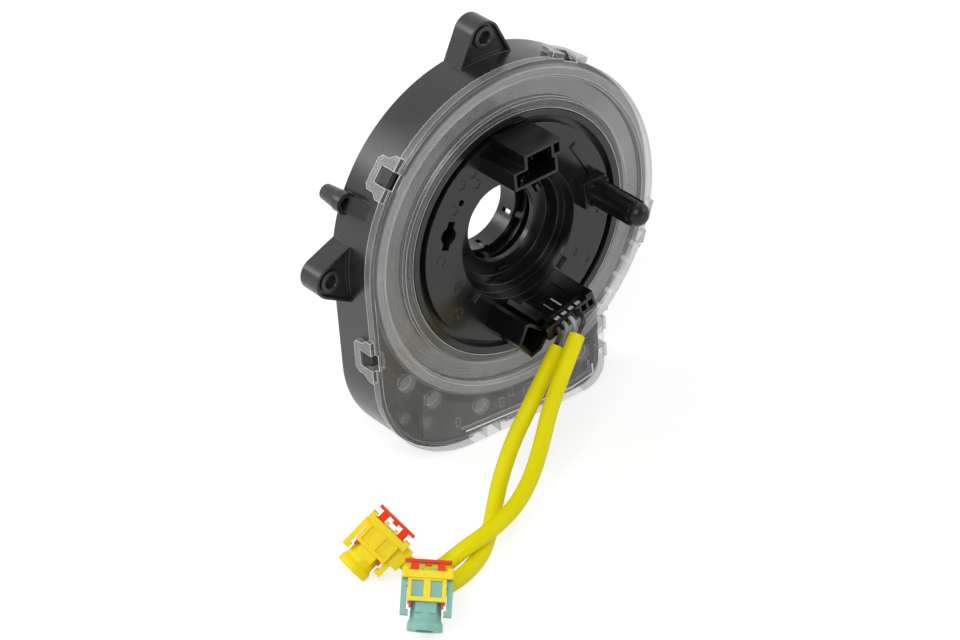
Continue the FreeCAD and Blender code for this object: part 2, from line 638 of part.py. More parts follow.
def drive_peg():
    x, z = DRIVE_PEG_X, DRIVE_PEG_Z
    base = peg_foot(-4.4, 0)
    step = block(x - 3.1, x + 3.7, z - 3.6, z + 3.6, -5.6, -4.4)
    base = base.cut(rod(0, 0, 21.5, -9, 1))
    tip_r = 3.65
    shaft = taper(x, z, tip_r, DRIVE_PEG_R, DRIVE_PEG_TOP + 2.2, -3.0)
    dome_points = [V(0, at(DRIVE_PEG_TOP), 0), V(tip_r * 0.74, at(DRIVE_PEG_TOP + 0.65), 0),
                   V(tip_r, at(DRIVE_PEG_TOP + 2.2), 0)]
    dome_wire = Part.Wire([
        Part.Arc(*dome_points).toShape(),
        Part.LineSegment(dome_points[2], V(0, at(DRIVE_PEG_TOP + 2.2), 0)).toShape(),
        Part.LineSegment(V(0, at(DRIVE_PEG_TOP + 2.2), 0), dome_points[0]).toShape(),
    ])
    dome = Part.Face(dome_wire).revolve(V(0, 0, 0), V(0, 1, 0), 360)
    dome.translate(V(x, 0, z))
    ribs = []
    for k in range(4):
        rib = block(-4.2, 4.2, -0.7, 0.7, DRIVE_PEG_TOP + 3.4, -4.0)
        ribs.append(set_at(rib, x, z, 45.0 * k))
    return joined(base, step, shaft, dome, *ribs)


def pins(places, side, front, back):
    half = side / 2
    return [block(x - half, x + half, z - half, z + half, front, back) for x, z in places]


def switch_connector():
    low = block(-11.2, 4.9, 26.1, 32.0, SOCKET_FRONT, 0)
    high = block(-6.9, 6.9, 31.5, 36.4, SOCKET_FRONT, 0)
    floor = -3.0
    hollow_low = block(-10.3, 4.0, 27.0, 31.4, SOCKET_FRONT - 1, floor)
    hollow_high = block(-6.0, 3.1, 31.0, 35.5, SOCKET_FRONT - 1, floor)
    cell = block(4.0, 6.1, 32.4, 35.5, SOCKET_FRONT - 1, floor)
    rib = block(-8.2, -7.4, 26.6, 28.6, SOCKET_FRONT + 1, floor + 0.1)
    key = block(-1.8, -0.6, 25.3, 26.3, SOCKET_FRONT + 2, 0)
    body = joined(low, high, key).cut(hollow_low.multiFuse([hollow_high, cell]))
    body = joined(body, rib)
    return body.cut(Part.makeCompound(pins(SWITCH_PINS, 0.7, -9.0, -1.0)))


def horn_outline():
    corners = [(-14.2, -26.7), (-11.2, -20.6), (-9.6, -20.7), (-3.3, -25.2), (-3.5, -28.2), (-5.8, -31.4),
               (-9.6, -32.6)]
    a = math.radians(ROTOR_TURN)
    return [(x * math.cos(a) + z * math.sin(a), z * math.cos(a) - x * math.sin(a)) for x, z in corners]


def horn_prism(offset, front, back):
    """Six-sided outline of the horn socket, moved out by offset, between two depths."""
    corners = horn_outline()
    ring = [V(x, at(front), z) for x, z in corners]
    wire = Part.makePolygon(ring + ring[:1])
    if offset:
        wire = wire.makeOffset2D(offset, 2)
    return Part.Face(wire).extrude(V(0, back - front, 0))


def horn_socket():
    body = horn_prism(0, SOCKET_FRONT, 0)
    body = body.cut(horn_prism(-HORN_WALL, SOCKET_FRONT - 1, -3.0))
    return body.cut(Part.makeCompound(pins(HORN_PINS, 0.7, -8.0, -1.0)))


def lead_block(u0, u1, n0, n1, front, back):
    """Block in the lead connector's own directions: u along its face, n away from the steering axis."""
    solid = block(u0, u1, -n1, -n0, front, back)
    return spun(solid, LEAD_ANGLE)


def cell_centre(k):
    a = math.radians(LEAD_ANGLE)
    u = CELL_U + CELL_PITCH * k
    return (u * math.cos(a) + CELL_N * math.sin(a), u * math.sin(a) - CELL_N * math.cos(a))


def lead_socket():
    bore = rod(0, 0, 21.5, -30, 1)
    body = lead_block(-12.0, 7.6, 19.0, 27.0, -14.6, 0)
    right = lead_block(3.6, 7.6, 19.0, 27.0, -15.6, 0)
    foot = lead_block(-14.0, -11.0, 21.0, 26.0, -4.0, 0)
    slot = lead_block(-9.8, 3.6, 18.0, 25.6, -20, -3.6)
    room = horn_prism(GAP, -20, 1)
    return joined(body, right, foot).cut(slot).cut(bore).cut(room)


def lead_connector():
    bore = rod(0, 0, 21.5, -15.4, 1)
    body = lead_block(-9.5, 3.3, 20.0, 25.3, STRIP_BACK, -3.9)
    strip = lead_block(-11.7, 7.3, 20.8, 25.3, LEAD_FRONT, STRIP_BACK)
    ear_block = lead_block(4.6, 7.3, 19.4, 21.0, LEAD_FRONT, STRIP_BACK)
    key = lead_block(-9.5, -8.3, 20.0, 22.0, LEAD_FRONT + 0.6, -14.9)
    body = joined(body, strip, ear_block).cut(bore)
    cuts = []
    for k in range(6):
        u = CELL_U + CELL_PITCH * k
        cuts.append(lead_block(u - 0.95, u + 0.95, CELL_N - 1.1, CELL_N + 1.1, LEAD_FRONT - 1, -15.8))
    for k in range(4):
        u = -6.1 + CELL_PITCH * k
        cuts.append(lead_block(u - 1.0, u + 1.0, 20.0, 21.6, LEAD_FRONT + 0.5, LEAD_FRONT + 2.3))
    for u in (-4.3, -1.2):
        cuts.append(lead_block(u - 0.4, u + 0.4, 20.0, 22.4, -13.7, -8.0))
    return body.cut(cuts[0].multiFuse(cuts[1:]))


def lead_contacts():
    """Pale contacts in the four windows and the two slots."""
    out = []
    for k in range(4):
        u = -6.1 + CELL_PITCH * k
        out.append(lead_block(u - 0.9, u + 0.9, 21.2, 21.6, LEAD_FRONT + 0.6, LEAD_FRONT + 2.2))
    for u in (-4.3, -1.2):
        out.append(lead_block(u - 0.35, u + 0.35, 21.9, 22.4, -13.6, -8.1))
    return out


def tube_route(points, r, name=""):
    """Round cord along a route: straight runs joined by tangent arcs."""
    pts = [V(*p) for p in points]
    edges = []
    here = pts[0]
    radii = []
    for i in range(1, len(pts) - 1):
        a = pts[i] - pts[i - 1]
        b = pts[i + 1] - pts[i]
        run = min(a.Length, b.Length)
        a_dir = V(a).normalize()
        b_dir = V(b).normalize()
        turn = a_dir.getAngle(b_dir)
        cut = 0.45 * run
        radii.append(cut / math.tan(turn / 2))
        p0 = pts[i] - a_dir * cut
        p1 = pts[i] + b_dir * cut
        inward = (b_dir - a_dir).normalize()
        reach = radii[-1] / math.cos(turn / 2) - radii[-1]
        mid = pts[i] + inward * reach
        edges.append(Part.LineSegment(here, p0).toShape())
        edges.append(Part.Arc(p0, mid, p1).toShape())
        here = p1
    edges.append(Part.LineSegment(here, pts[-1]).toShape())
    path = Part.Wire(edges)
    start = (pts[1] - pts[0]).normalize()
    circle = Part.Wire(Part.Circle(pts[0], start, r).toShape())
    solid = path.makePipeShell([circle], True, False)
    length = path.Length
    print(name, "radii", [round(x, 1) for x in radii], "length", round(length, 1),
          "volume over section", round(solid.Volume / (math.pi * r * r), 1))
    return solid, length


def lead_sleeve(points, name):
    """Sleeve with an open top end that takes two wires."""
    solid, length = tube_route(points, SLEEVE_R, name)
    first = V(*points[0])
    along = (V(*points[1]) - first).normalize()
    mouth = Part.makeCylinder(SLEEVE_R - SLEEVE_WALL, SLEEVE_MOUTH + 0.5, first - along * 0.5, along)
    return solid.cut(mouth)


def wire(name, k, bend, route, angle):
    """Wire from a cell of the connector into a sleeve's mouth, at an angle about the sleeve's line."""
    x, z = cell_centre(k)
    a = math.radians(ROTOR_TURN)
    fx = x * math.cos(a) - z * math.sin(a)
    fz = x * math.sin(a) + z * math.cos(a)
    first = V(*route[0])
    along = (V(*route[1]) - first).normalize()
    side = along.cross(V(0, 1, 0)).normalize()
    deep = side.cross(along)
    b = math.radians(angle)
    off = (side * math.cos(b) + deep * math.sin(b)) * WIRE_SPREAD
    points = [(fx, at(WIRE_START), fz), (fx, at(bend), fz)]
    points += [tuple(first + along * reach + off) for reach in (-0.5, SLEEVE_MOUTH - 0.2)]
    return tube_route(points, WIRE_R, name)[0]


def frame_of(origin, nose, width):
    """Placement with local X along the plug's width, Y towards its nose, Z towards its rear."""
    n = V(*nose).normalize()
    w = V(*width)
    w = (w - n * w.dot(n)).normalize()
    c = w.cross(n)
    m = FreeCAD.Matrix(w.x, n.x, c.x, origin[0], w.y, n.y, c.y, origin[1],
                       w.z, n.z, c.z, origin[2], 0, 0, 0, 1)
    return FreeCAD.Placement(m)


def placed(shape, place):
    copy = shape.copy()
    copy.Placement = place
    return copy


def local_box(w0, w1, n0, n1, c0, c1):
    return Part.makeBox(w1 - w0, n1 - n0, c1 - c0, V(w0, n0, c0))


def local_rod(r, n0, n1):
    return Part.makeCylinder(r, n1 - n0, V(0, n0, 0), V(0, 1, 0))


def lock_slots():
    """Slots in the body for the two legs of the lock."""
    slots = []
    for s in (-1, 1):
        lo, hi = sorted((s * (LEG_INNER - FIT), s * (LEG_OUTER + FIT)))
        slots.append(local_box(lo, hi, -9.5, LEG_STEP + LOCK_TRAVEL + GAP, LEG_C0 - FIT, LEG_C1 + FIT))
        lo, hi = sorted((s * (LEG_TIP_INNER - FIT), s * (LEG_OUTER + FIT)))
        slots.append(local_box(lo, hi, -3.0, 0.5, LEG_C0 - FIT, LEG_C1 + FIT))
    return slots


def plug_body(side_hood):
    """Body of a squib plug with its nose, latch arms and cable hood."""
    shell = local_box(-5.4, 5.4, -8.5, 0, -5.5, 4.0)
    cone = Part.makeCone(NOSE_ROOT_R, NOSE_R, NOSE_CONE, V(0, 0, 0), V(0, 1, 0))
    ring = Part.makeCone(NOSE_R, NOSE_RING_R, 1.2, V(0, NOSE_CONE, 0), V(0, 1, 0))
    rim = local_rod(NOSE_RING_R, NOSE_CONE + 1.2, NOSE_LENGTH)
    parts = [cone, ring.fuse(rim), local_box(-3.0, 3.0, -0.5, 3.0, -4.4, -2.0)]
    for s in (-1, 1):
        lo, hi = sorted((s * 1.2, s * 2.2))
        parts.append(local_box(lo, hi, LOCK_STOP, -8.4, LEG_C0, LEG_C1))
    for s in (-1, 1):
        if side_hood and s == 1:
            top = -1.6
        else:
            top = -6.4
        lo, hi = sorted((s * 5.7, s * 7.3))
        parts.append(local_box(lo, hi, top, 3.0, -3.6, 0.6))
        lo, hi = sorted((s * 5.2, s * 7.3))
        parts.append(local_box(lo, hi, top, top + 2.0, -3.6, 0.6))
        lo, hi = sorted((s * 5.0, s * 7.3))
        parts.append(local_box(lo, hi, 2.2, 3.7, -3.6, 0.6))
    if side_hood:
        parts.append(local_box(5.0, 9.5, -8.0, -0.9, -3.7, 3.6))
    else:
        yaw = math.radians(HOOD_YAW)
        out = V(math.sin(yaw), 0, math.cos(yaw))
        parts.append(local_box(-4.6, 4.9, -8.2, -0.6, 3.5, 6.4))
        parts.append(Part.makeCylinder(HOOD_R, 6.0, V(0, HOOD_N, 0) + out * 3.4, out))
    solid = shell.multiFuse(parts)
    nose_bore = local_rod(NOSE_BORE_R, -2.0, NOSE_LENGTH + 1)
    solid = solid.cut(nose_bore)
    for slot in lock_slots():
        solid = solid.cut(slot)
    for s in (-1, 1):
        solid = solid.cut(Part.makeCylinder(0.45, 6.1, V(1.2 * s, -8.1, 0), V(0, 1, 0)))
    return solid.removeSplitter()


def plug_frame():
    """Windowed front plate with a top bar and corner posts."""
    plate = local_box(-5.45, 5.45, -7.0, 0, -6.3, -5.5)
    bar = local_box(-7.2, 7.2, -8.6, -6.5, -7.0, -5.5)
    parts = [bar]
    for s in (-1, 1):
        lo, hi = sorted((s * 5.45, s * 7.2))
        parts.append(local_box(lo, hi, -9.5, -6.5, -7.0, -1.2))
    plate = plate.multiFuse(parts)
    for s in (-1, 1):
        lo, hi = sorted((s * 1.0, s * 4.3))
        plate = plate.cut(local_box(lo, hi, -5.9, -1.2, -8, -5))
    return plate.removeSplitter()


def plug_lock():
    """Sliding lock, drawn out: a flange with two legs that run into the body."""
    base = LOCK_OUT + LOCK_PLATE - 0.1
    flange = local_box(-6.6, 6.6, LOCK_OUT, LOCK_OUT + LOCK_PLATE, -4.6, 0.4)
    parts = [local_box(-0.9, 0.9, base, base + 1.0, LEG_C0, LEG_C1)]
    for s in (-1, 1):
        lo, hi = sorted((s * LEG_INNER, s * LEG_OUTER))
        parts.append(local_box(lo, hi, base, LEG_STEP, LEG_C0, LEG_C1))
        lo, hi = sorted((s * LEG_TIP_INNER, s * LEG_OUTER))
        parts.append(local_box(lo, hi, LEG_STEP - 0.1, LEG_TIP, LEG_C0, LEG_C1))
    return flange.multiFuse(parts).removeSplitter()


def plug_contacts():
    return [Part.makeCylinder(0.45, 6.1, V(1.2 * s, -6.1, 0), V(0, 1, 0)) for s in (-1, 1)]


def build():
    save("rear_housing", rear_housing())
    save("front_cover", front_cover())
    save("slip_sheet", slip_sheet())
    cable, start_x = flat_cable()
    save("flat_cable", cable)
    save("cable_end_outer", cable_end_outer(start_x))
    save("terminal_carrier", terminal_carrier())
    save("stator_connector", stator_connector())
    save("stator_pins", stator_pins())
    turn = ROTOR_TURN
    save("cable_end_inner", spun(cable_end_inner(), CABLE_ANGLE))
    save("rotor_plate", spun(rotor_plate(), turn))
    save("rear_sleeve", spun(rear_sleeve(), turn))
    save("drive_peg", spun(drive_peg(), turn))
    save("switch_connector", spun(switch_connector(), turn))
    save("switch_pins", spun(Part.makeCompound(pins(SWITCH_PINS, 0.7, -9.0, -1.0)), turn))
    save("horn_socket", spun(horn_socket(), turn))
    save("horn_pins", spun(Part.makeCompound(pins(HORN_PINS, 0.7, -8.0, -1.0)), turn))
    save("lead_socket", spun(lead_socket(), turn))
    save("lead_connector", spun(lead_connector(), turn))
    save("lead_contacts", spun(Part.makeCompound(lead_contacts()), turn))
    save("lead_sleeve_teal", lead_sleeve(ROUTE_TEAL, "teal"))
    save("lead_sleeve_yellow", lead_sleeve(ROUTE_YELLOW, "yellow"))
    for name, k, bend, route, angle in WIRES:
        save("wire_" + name, wire(name, k, bend, route, angle))
    for name, origin, nose, width, route, side_hood in (
            ("teal", TEAL_ORIGIN, TEAL_NOSE, TEAL_WIDTH, ROUTE_TEAL, False),
            ("yellow", YELLOW_ORIGIN, YELLOW_NOSE, YELLOW_WIDTH, ROUTE_YELLOW, True)):
        place = frame_of(origin, nose, width)
        room = tube_route(route[-4:], SLEEVE_R + FIT, name + " room")[0]
        frame = placed(plug_frame(), place).cut(room)
        body = placed(plug_body(side_hood), place).cut(room).cut(frame)
        save(name + "_plug_body", body)
        save(name + "_plug_frame", frame)
        save(name + "_plug_lock", placed(plug_lock(), place))
        save(name + "_plug_contacts", placed(Part.makeCompound(plug_contacts()), place))


build()
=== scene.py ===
import math

import bpy
from mathutils import Matrix, Vector


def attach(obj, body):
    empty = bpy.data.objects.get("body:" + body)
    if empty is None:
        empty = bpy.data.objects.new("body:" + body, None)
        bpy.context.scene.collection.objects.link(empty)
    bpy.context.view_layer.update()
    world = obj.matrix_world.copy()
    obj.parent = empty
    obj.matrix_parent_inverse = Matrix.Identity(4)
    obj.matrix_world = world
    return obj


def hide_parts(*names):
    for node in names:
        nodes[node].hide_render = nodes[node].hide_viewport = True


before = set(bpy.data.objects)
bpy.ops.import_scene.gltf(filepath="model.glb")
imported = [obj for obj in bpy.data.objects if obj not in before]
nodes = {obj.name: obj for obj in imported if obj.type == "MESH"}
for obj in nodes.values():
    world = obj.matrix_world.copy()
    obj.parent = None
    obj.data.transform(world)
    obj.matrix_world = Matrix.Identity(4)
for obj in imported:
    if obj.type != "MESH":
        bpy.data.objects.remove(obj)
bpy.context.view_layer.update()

# The photograph's camera, found from ellipses fitted to the cover's rim, the cover's hole and the hub
LENS_MM = 131.25
SENSOR_MM = 36.0
CAMERA_PLACE = (-0.549563, -0.734323, 0.526069)
CAMERA_RIGHT = (0.78294, -0.62041, -0.04579)
CAMERA_UP = (0.35709, 0.38792, 0.84971)
CAMERA_BACK = (-0.50941, -0.68162, 0.52526)

# Studio: the world's light, how gloss sees the dim room in front of the object, and the lamps, each with
# its name, place, side and power in watts
WORLD_LIGHT = 0.32
ROOM_SIDE = (-0.35, -0.90, 0.26)
ROOM_DIM = 0.22
ROOM_START = 0.1
ROOM_FULL = 0.75
LAMPS = (
    ("key", (-0.9, -0.9, 1.2), 0.9, 14.0),
    ("fill", (1.1, -0.9, 0.5), 0.8, 5.0),
    ("rim", (-0.9, 0.7, 0.8), 0.7, 7.0),
)
FLOOR_Z = -0.0676
FLOOR_HALF = 6.0
FLOOR_TONE = 0.8
FLOOR_SHADE = 0.42
FLOOR_GLOW = 0.72

# Noise of the materials: the range that most of it lies in, and its scales per metre
NOISE_LOW = 0.3
NOISE_HIGH = 0.7
FLOW_SCALE = 45.0
GLOSS_SCALE = 121.5
CLOUD_SCALE = 38.0
MILK_SCALE = 60.0
METAL_TONE_SCALE = 400.0
METAL_GLOSS_SCALE = 700.0
WIRE_GRAIN = 2500.0

# How far noise moves a material's roughness and darkens its colour, and how strongly grain bends its normal
PLASTIC_GLOSS = (-0.05, 0.07)
METAL_GLOSS = (-0.05, 0.1)
DARK_SHARE = 0.85
GRAIN_STRENGTH = 0.35

# Dot product of the bevelled and the plain normal where an edge starts to pale with a painted highlight,
# and where it is palest
EDGE_START = 0.985
EDGE_FULL = 0.82

# Share of a face's normal along the steering axis: below the first a side, above the second a front
SIDE_FULL = 0.3
SIDE_NONE = 0.98

# Clear plastic: its tone straight through a face and through a wall, and what its inner faces keep
CLEAR_TONE = (0.93, 0.93, 0.93)
WALL_TONE = (0.64, 0.64, 0.65)
INNER_SHARE = 0.35
CLEAR_IOR = 1.5
MILK_ROUGH = 0.4
SLANT_BLEND = 0.25
WALL_SLANT = (0.25, 0.95)
# Facing range over which the painted sheen of clear plastic grows at a slant
SHEEN_SLANT = (0.1, 1.0)

# Milkiness of the cover, as shares of an opaque surface
FACE_CLOUD = (0.04, 0.08)
SPOT_CLOUD = 0.11
SMALL_SPOT_CLOUD = 0.07
RING_CLOUD = 0.20
CHORD_RIB_CLOUD = 0.35
LOBE_RIB_CLOUD = 0.9
SIDE_CLOUD = 0.06

# Milkiness of the slip sheet, and what it gains from its left to its right
SHEET_CLOUD = (0.08, 0.22)
SHEET_GAIN = 0.17
SHEET_REACH = 0.045

# Radii of the cover's frosted ring and of its thick rim, and how softly they end
FROSTED_RING = (0.0489, 0.0525)
THICK_RIM = (0.0520, 0.0560)
RING_SOFT = 0.00025

# Places (x, z) of the frosted spots of the cover's lobe, in millimetres, and their radii in metres
FROSTED_SPOTS = ((-43.5, -35.4), (-34.2, -45.1), (-16.3, -55.2), (3.3, -58.3), (23.4, -53.3))
SMALL_SPOTS = ((-45.1, -47.2), (-37.5, -52.0))
SPOT_R = 0.0029
SMALL_SPOT_R = 0.0019
LINE_SOFT = 0.0001

# Corners (x, z) of the thin rib under the cover's lobe, in millimetres, and half its width in metres
LOBE_RIB = ((-23.0, -61.4), (18.7, -63.6), (27.3, -62.0), (27.1, -58.4))
LOBE_RIB_HALF = 0.00026

# Outward angle of the cover's straight side, where its short ribs lie, their spacing and half their width
CHORD_ANGLE = -38.76
CHORD_BAND = (0.0471, 0.0530)
CHORD_HALF = 0.0119
RIB_PITCH = 0.0055
RIB_HALF = 0.0007

# Air between the slip sheet and the cover
SHEET_AIR = 0.00003

# The two sleeves: their radius
SLEEVE_R = 0.0025

# Routes of the two sleeves in millimetres, from the lead connector to the plugs
ROUTE_TEAL = [
    (-1.6, -39.0, -31.5), (-8.6, -41.5, -36.4), (-17.7, -44.8, -42.6), (-27.4, -48.2, -49.4),
    (-36.1, -53.0, -55.9), (-41.6, -57.2, -59.8), (-46.5, -61.5, -62.4), (-52.2, -66.1, -64.3),
    (-58.7, -70.4, -65.0), (-66.9, -73.8, -65.0), (-75.8, -75.7, -64.1), (-80.1, -77.4, -62.2),
    (-82.4, -79.2, -59.5),
]
ROUTE_YELLOW = [
    (3.0, -42.8, -27.2), (-4.8, -46.0, -34.0), (-13.8, -49.9, -42.0), (-21.5, -55.0, -48.8),
    (-30.3, -60.7, -54.0), (-39.2, -65.1, -56.8), (-47.2, -67.7, -58.0), (-55.6, -68.8, -59.1),
    (-62.6, -68.5, -60.6), (-70.2, -66.9, -64.8), (-74.2, -64.7, -64.7), (-77.0, -61.9, -63.2),
    (-78.7, -58.2, -60.0),
]


def metres(*lengths):
    """Millimetres to metres."""
    return [length / 1000 for length in lengths]


def grey(tone):
    return (tone, tone, tone, 1)


def darker(color):
    return [c * DARK_SHARE for c in color]


def place_object(name, data):
    thing = bpy.data.objects.new(name, data)
    bpy.context.scene.collection.objects.link(thing)
    return thing


# Shader nodes

def add(tree, kind, **settings):
    """A new shader node with some of its properties set."""
    node = tree.nodes.new("ShaderNode" + kind)
    for name, value in settings.items():
        setattr(node, name, value)
    return node


def new_material(name):
    material = bpy.data.materials.new(name)
    material.use_nodes = True
    return material, material.node_tree


def mixed(tree, factor, first, second):
    """A shader mixed from two others by a factor."""
    mix = add(tree, "MixShader")
    tree.links.new(factor, mix.inputs[0])
    tree.links.new(first.outputs[0], mix.inputs[1])
    tree.links.new(second.outputs[0], mix.inputs[2])
    return mix


def combined(tree, first, second, operation="ADD"):
    """Two values put together, held between 0 and 1."""
    math_node = add(tree, "Math", operation=operation, use_clamp=True)
    tree.links.new(first, math_node.inputs[0])
    tree.links.new(second, math_node.inputs[1])
    return math_node.outputs[0]


def summed(tree, values):
    """All the values added up."""
    total = values[0]
    for value in values[1:]:
        total = combined(tree, total, value)
    return total


def spread(tree, value, low, high, from_low=NOISE_LOW, from_high=NOISE_HIGH):
    """The value scaled from one range to another and held in it."""
    scale = add(tree, "MapRange")
    scale.inputs["From Min"].default_value = from_low
    scale.inputs["From Max"].default_value = from_high
    scale.inputs["To Min"].default_value = low
    scale.inputs["To Max"].default_value = high
    tree.links.new(value, scale.inputs["Value"])
    return scale.outputs["Result"]


def scaled(tree, value, gain):
    return spread(tree, value, 0.0, gain, 0.0, 1.0)


def window(tree, value, low, high, soft=LINE_SOFT):
    """1 where the value lies between two limits, fading out beside them."""
    rise = spread(tree, value, 0.0, 1.0, low - soft, low + soft)
    fall = spread(tree, value, 1.0, 0.0, high - soft, high + soft)
    return combined(tree, rise, fall, "MULTIPLY")


def noise(tree, scale, detail=4.0):
    coords = add(tree, "TexCoord")
    texture = add(tree, "TexNoise")
    texture.inputs["Scale"].default_value = scale
    texture.inputs["Detail"].default_value = detail
    tree.links.new(coords.outputs["Object"], texture.inputs["Vector"])
    return texture.outputs["Fac"]


def tint(tree, value, dark, light):
    mix = add(tree, "Mix", data_type="RGBA")
    mix.inputs["A"].default_value = (*dark, 1)
    mix.inputs["B"].default_value = (*light, 1)
    tree.links.new(value, mix.inputs["Factor"])
    return mix.outputs["Result"]


def soft_edges(tree, radius, samples=4):
    bevel = add(tree, "Bevel", samples=samples)
    bevel.inputs["Radius"].default_value = radius
    return bevel.outputs[0]


def edge_highlight_mask(tree, radius, gain):
    """Painted edge highlight: 0 on open faces and up to the gain close to an edge."""
    bevel = soft_edges(tree, radius, samples=12)
    geometry = add(tree, "NewGeometry")
    lean = add(tree, "VectorMath", operation="DOT_PRODUCT")
    tree.links.new(bevel, lean.inputs[0])
    tree.links.new(geometry.outputs["Normal"], lean.inputs[1])
    return spread(tree, lean.outputs["Value"], 0.0, gain, EDGE_START, EDGE_FULL)


def side_faces(tree, gain):
    """Up to the gain on faces that look sideways, 0 on faces that look along the steering axis."""
    geometry = add(tree, "NewGeometry")
    split = add(tree, "SeparateXYZ")
    tree.links.new(geometry.outputs["True Normal"], split.inputs[0])
    size = add(tree, "Math", operation="ABSOLUTE")
    tree.links.new(split.outputs["Y"], size.inputs[0])
    return spread(tree, size.outputs[0], gain, 0.0, SIDE_FULL, SIDE_NONE)


def outer_faces(tree, outer, inner):
    """One value on the outer side of a face and another on its inner side."""
    geometry = add(tree, "NewGeometry")
    return spread(tree, geometry.outputs["Backfacing"], outer, inner, 0.0, 1.0)


# Camera and studio

def make_camera():
    data = bpy.data.cameras.new("camera")
    data.lens = LENS_MM
    data.sensor_width = SENSOR_MM
    data.sensor_fit = "HORIZONTAL"
    data.clip_start = 0.01
    data.clip_end = 100.0
    camera = place_object("camera", data)
    turn = Matrix((CAMERA_RIGHT, CAMERA_UP, CAMERA_BACK)).transposed()
    camera.matrix_world = Matrix.Translation(CAMERA_PLACE) @ turn.to_4x4()
    bpy.context.scene.camera = camera


def make_lamp(name, place, size, power):
    """A square lamp that shines at the middle of the object."""
    data = bpy.data.lights.new(name, "AREA")
    data.shape = "SQUARE"
    data.size = size
    data.energy = power
    lamp = place_object(name, data)
    lamp.location = place
    lamp.rotation_mode = "QUATERNION"
    lamp.rotation_quaternion = (-Vector(place)).to_track_quat("-Z", "Y")


def seen_directly(tree):
    """1 for camera, glossy and transmission rays."""
    path = add(tree, "LightPath")
    seen = combined(tree, path.outputs["Is Camera Ray"], path.outputs["Is Glossy Ray"], "MAXIMUM")
    return combined(tree, seen, path.outputs["Is Transmission Ray"], "MAXIMUM")


def room(tree):
    """Brightness that gloss sees: the white backdrop, falling off to the dim room."""
    coords = add(tree, "TexCoord")
    along = add(tree, "VectorMath", operation="DOT_PRODUCT")
    along.inputs[1].default_value = ROOM_SIDE
    tree.links.new(coords.outputs["Generated"], along.inputs[0])
    dim = spread(tree, along.outputs["Value"], 1.0, ROOM_DIM, ROOM_START, ROOM_FULL)
    path = add(tree, "LightPath")
    return combined(tree, dim, path.outputs["Is Camera Ray"], "MAXIMUM")


def make_world():
    world = bpy.data.worlds.new("studio")
    world.use_nodes = True
    tree = world.node_tree
    tree.nodes.clear()
    light = add(tree, "Background")
    light.inputs["Color"].default_value = grey(1.0)
    light.inputs["Strength"].default_value = WORLD_LIGHT
    seen = add(tree, "Background")
    seen.inputs["Color"].default_value = grey(1.0)
    tree.links.new(room(tree), seen.inputs["Strength"])
    out = add(tree, "OutputWorld")
    tree.links.new(mixed(tree, seen_directly(tree), light, seen).outputs[0], out.inputs[0])
    bpy.context.scene.world = world


def floor_white():
    """A matte floor that looks nearly white to the camera and lights the object as a grey one would."""
    material, tree = new_material("floor_white")
    tree.nodes.clear()
    matte = add(tree, "BsdfDiffuse")
    matte.inputs["Color"].default_value = grey(FLOOR_TONE)
    shade = add(tree, "BsdfDiffuse")
    shade.inputs["Color"].default_value = grey(FLOOR_SHADE)
    glow = add(tree, "Emission")
    glow.inputs["Strength"].default_value = FLOOR_GLOW
    both = add(tree, "AddShader")
    tree.links.new(shade.outputs[0], both.inputs[0])
    tree.links.new(glow.outputs[0], both.inputs[1])
    out = add(tree, "OutputMaterial")
    tree.links.new(mixed(tree, seen_directly(tree), matte, both).outputs[0], out.inputs[0])
    return material


def make_floor():
    s = FLOOR_HALF
    corners = [(-s, -s, FLOOR_Z), (s, -s, FLOOR_Z), (s, s, FLOOR_Z), (-s, s, FLOOR_Z)]
    mesh = bpy.data.meshes.new("floor")
    mesh.from_pydata(corners, [], [(0, 1, 2, 3)])
    mesh.materials.append(floor_white())
    place_object("floor", mesh)


# Places on the cover, as masks

def beside_axis(tree):
    """Object coordinates with the depth taken out."""
    coords = add(tree, "TexCoord")
    flat = add(tree, "VectorMath", operation="MULTIPLY")
    flat.inputs[1].default_value = (1.0, 0.0, 1.0)
    tree.links.new(coords.outputs["Object"], flat.inputs[0])
    return flat.outputs["Vector"]


def measured(tree, x, z):
    """How far a place lies along a direction beside the steering axis."""
    along = add(tree, "VectorMath", operation="DOT_PRODUCT")
    along.inputs[1].default_value = (x, 0.0, z)
    tree.links.new(beside_axis(tree), along.inputs[0])
    return along.outputs["Value"]


def spot(tree, place, radius, gain):
    """The gain inside one round spot, 0 elsewhere."""
    x, z = metres(*place)
    away = add(tree, "VectorMath", operation="DISTANCE")
    away.inputs[1].default_value = (x, 0.0, z)
    tree.links.new(beside_axis(tree), away.inputs[0])
    return spread(tree, away.outputs["Value"], gain, 0.0, radius - LINE_SOFT, radius + LINE_SOFT)


def spots(tree, places, radius, gain):
    return summed(tree, [spot(tree, place, radius, gain) for place in places])


def ring_band(tree, radii, gain):
    """The gain between two radii about the steering axis."""
    inner, outer = radii
    reach = add(tree, "VectorMath", operation="LENGTH")
    tree.links.new(beside_axis(tree), reach.inputs[0])
    return scaled(tree, window(tree, reach.outputs["Value"], inner, outer, RING_SOFT), gain)


def stroke(tree, start, end, half, gain):
    """The gain along one straight rib, given by its ends (x, z) in millimetres."""
    (x0, z0), (x1, z1) = start, end
    run = math.hypot(x1 - x0, z1 - z0)
    ux, uz = (x1 - x0) / run, (z1 - z0) / run
    first = (x0 * ux + z0 * uz) / 1000
    side = (z0 * ux - x0 * uz) / 1000
    length = window(tree, measured(tree, ux, uz), first, first + run / 1000)
    width = window(tree, measured(tree, -uz, ux), side - half, side + half)
    return scaled(tree, combined(tree, length, width, "MULTIPLY"), gain)


def strokes(tree, corners, half, gain):
    """The gain along a rib that runs from corner to corner."""
    return summed(tree, [stroke(tree, *ends, half, gain) for ends in zip(corners, corners[1:])])


